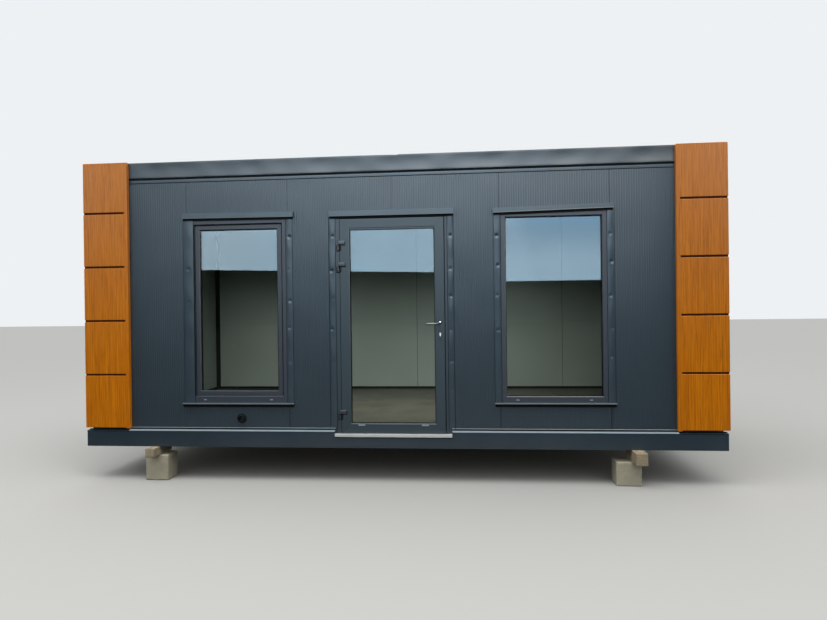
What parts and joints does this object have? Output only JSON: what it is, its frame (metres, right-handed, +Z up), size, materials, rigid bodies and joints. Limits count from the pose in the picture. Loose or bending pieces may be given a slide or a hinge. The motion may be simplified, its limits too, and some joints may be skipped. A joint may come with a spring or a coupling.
{
  "type": "portable site cabin",
  "caption": "Single-storey portable cabin with sandwich-panel walls, wood-look corner cladding, a glazed door that swings outwards, windows at the front, and blocks to stand on.",
  "frame": {"origin": "on the ground, at the centre of the plan, under the cabin's floor", "axes": "+Z up, +X along the front to the right as seen from outside, -Y out of the front, so the door opens towards -Y"},
  "size_m": [6.048, 3.264, 3.078],
  "materials": {
    "panel_anthracite": "satin",
    "frame_anthracite": "satin",
    "fascia_grey": "satin",
    "roof_sheet": "satin",
    "oak_film_cladding": "satin",
    "carrier_steel": "matte",
    "frame_plastic": "satin",
    "dark_plastic": "matte",
    "window_glass": "polished",
    "spacer_black": "matte",
    "threshold_aluminium": "satin",
    "hardware_steel": "satin",
    "handle_white": "gloss",
    "floor_board": "matte",
    "packer_timber": "matte",
    "concrete": "matte"
  },
  "bodies": {
    "cabin": {"support_blocks": "concrete", "timber_packers": "packer_timber", "base_front_rail": "frame_anthracite", "base_rear_rail": "frame_anthracite", "base_left_rail": "frame_anthracite", "base_right_rail": "frame_anthracite", "cross_members": "frame_anthracite", "floor_deck": "floor_board", "corner_posts": "frame_anthracite", "front_wall_left": "panel_anthracite", "front_wall_right": "panel_anthracite", "front_wall_over_door": "panel_anthracite", "rear_wall": "panel_anthracite", "left_wall": "panel_anthracite", "right_wall": "panel_anthracite", "roof_front_beam": "frame_anthracite", "roof_rear_beam": "frame_anthracite", "roof_left_beam": "frame_anthracite", "roof_right_beam": "frame_anthracite", "roof_panel": "roof_sheet", "front_fascia": "fascia_grey", "rear_fascia": "fascia_grey", "left_fascia": "fascia_grey", "right_fascia": "fascia_grey", "wall_top_trims": "fascia_grey", "ledge_flashings": "fascia_grey", "cladding_carriers": "carrier_steel", "front_left_cladding": "oak_film_cladding", "front_right_cladding": "oak_film_cladding", "rear_left_cladding": "oak_film_cladding", "rear_right_cladding": "oak_film_cladding", "cladding_edge_trims": "oak_film_cladding", "left_window_frame": "frame_plastic", "left_window_sash": "frame_plastic", "left_window_glass": "window_glass", "left_window_handle": "handle_white", "right_window_frame": "frame_plastic", "right_window_glass": "window_glass", "window_spacers": "spacer_black", "window_sills": "fascia_grey", "head_flashings": "fascia_grey", "jamb_strips": "fascia_grey", "service_outlet": "dark_plastic", "drain_caps": "dark_plastic", "door_frame": "frame_plastic", "door_threshold": "threshold_aluminium", "door_hinge_pins": "dark_plastic"},
    "door": {"door_leaf": "frame_plastic", "door_glass": "window_glass", "door_spacer": "spacer_black", "door_hinge_arms": "dark_plastic", "door_lock_plates": "hardware_steel", "door_drain_covers": "dark_plastic"},
    "lever": {"door_lever": "hardware_steel"}
  },
  "joints": [
    {"name": "door_swing", "type": "hinge", "parent": "cabin", "child": "door", "pos_m": [-0.509, -1.456, 1.47], "axis": [0, 0, -1], "range_deg": [0, 100]},
    {"name": "lever_turn", "type": "hinge", "parent": "door", "child": "lever", "pos_m": [0.447, -1.461, 1.497], "axis": [0, -1, 0], "range_deg": [0, 35], "stiffness_Nm_per_rad": 1, "springref_deg": -17.19}
  ]
}
